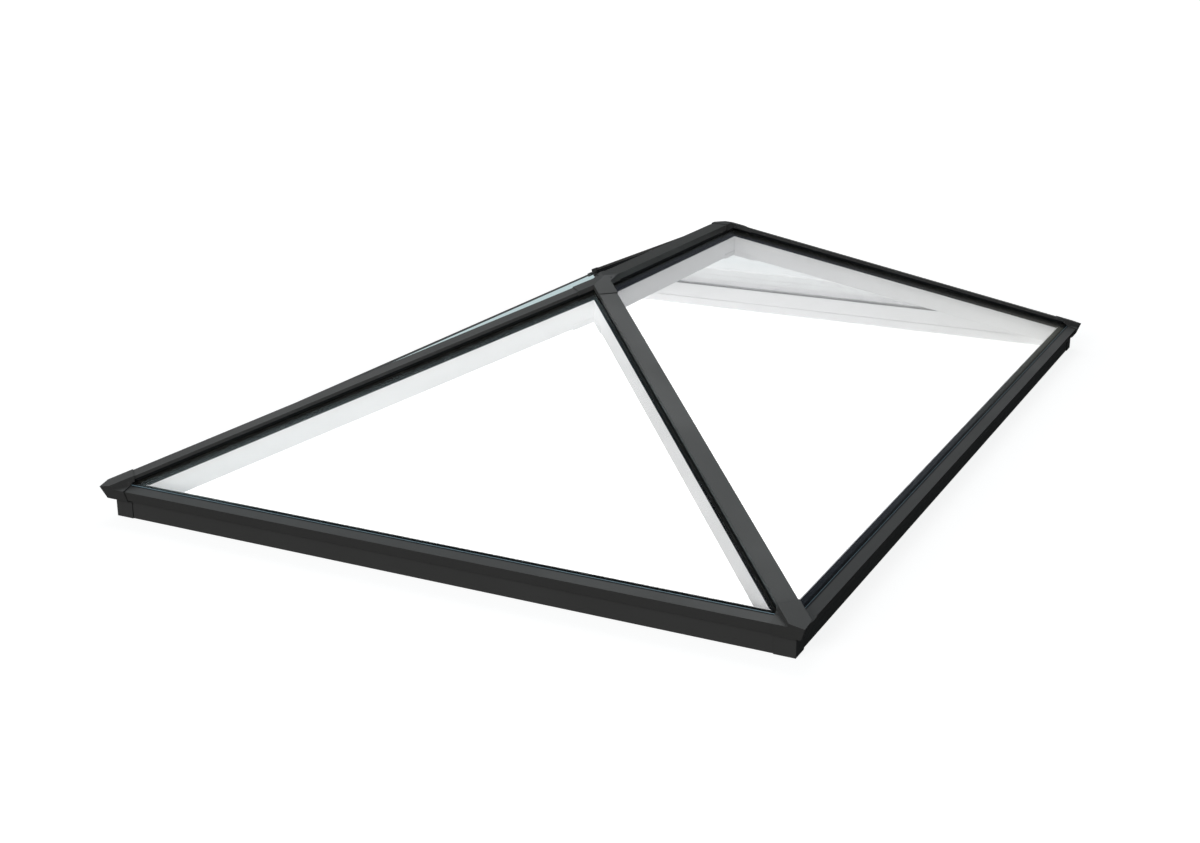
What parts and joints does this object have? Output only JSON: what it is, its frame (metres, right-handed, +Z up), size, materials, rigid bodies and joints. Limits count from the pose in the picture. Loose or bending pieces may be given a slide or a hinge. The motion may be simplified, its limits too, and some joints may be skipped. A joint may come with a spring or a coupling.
{
  "type": "roof lantern",
  "caption": "Hipped roof lantern with faintly tinted sealed glass panes on slim dark hips and a short ridge, over a shallow ring beam with a white inner lining.",
  "frame": {"origin": "centre of the underside of the ring beam, the face that rests on the roof kerb", "axes": "+X along the ridge, +Y across the lantern, +Z up"},
  "size_m": [3.0512, 2.0712, 0.5783],
  "materials": {
    "dark_paint": "satin powder coat on aluminium",
    "dark_moulding": "fine satin",
    "white_lining": "smooth satin",
    "white_paint": "satin powder coat on aluminium",
    "white_moulding": "smooth satin",
    "glass": "clear, with a faint blue-green tint",
    "spacer_bar": "matt black",
    "rubber": "matt"
  },
  "bodies": {
    "root": {"ring_beam_front": "dark_paint", "ring_beam_back": "dark_paint", "ring_beam_left": "dark_paint", "ring_beam_right": "dark_paint", "lining_front": "white_lining", "lining_back": "white_lining", "lining_left": "white_lining", "lining_right": "white_lining", "eaves_bead_front": "dark_paint", "eaves_bead_back": "dark_paint", "eaves_bead_left": "dark_paint", "eaves_bead_right": "dark_paint", "corner_casting_front_left": "dark_moulding", "corner_casting_front_right": "dark_moulding", "corner_casting_back_left": "dark_moulding", "corner_casting_back_right": "dark_moulding", "hip_rafter_front_left": "white_paint", "hip_rafter_front_right": "white_paint", "hip_rafter_back_left": "white_paint", "hip_rafter_back_right": "white_paint", "hip_cap_front_left": "dark_paint", "hip_cap_front_right": "dark_paint", "hip_cap_back_left": "dark_paint", "hip_cap_back_right": "dark_paint", "ridge_beam": "white_paint", "ridge_cap": "dark_paint", "ridge_cover_left": "dark_moulding", "ridge_cover_right": "dark_moulding", "soffit_cover_left": "white_moulding", "soffit_cover_right": "white_moulding", "glass_front": "glass", "glass_back": "glass", "glass_left": "glass", "glass_right": "glass", "spacer_front": "spacer_bar", "spacer_back": "spacer_bar", "spacer_left": "spacer_bar", "spacer_right": "spacer_bar", "bed_gaskets": "rubber", "hip_seals": "rubber", "ridge_seals": "rubber"}
  },
  "joints": []
}
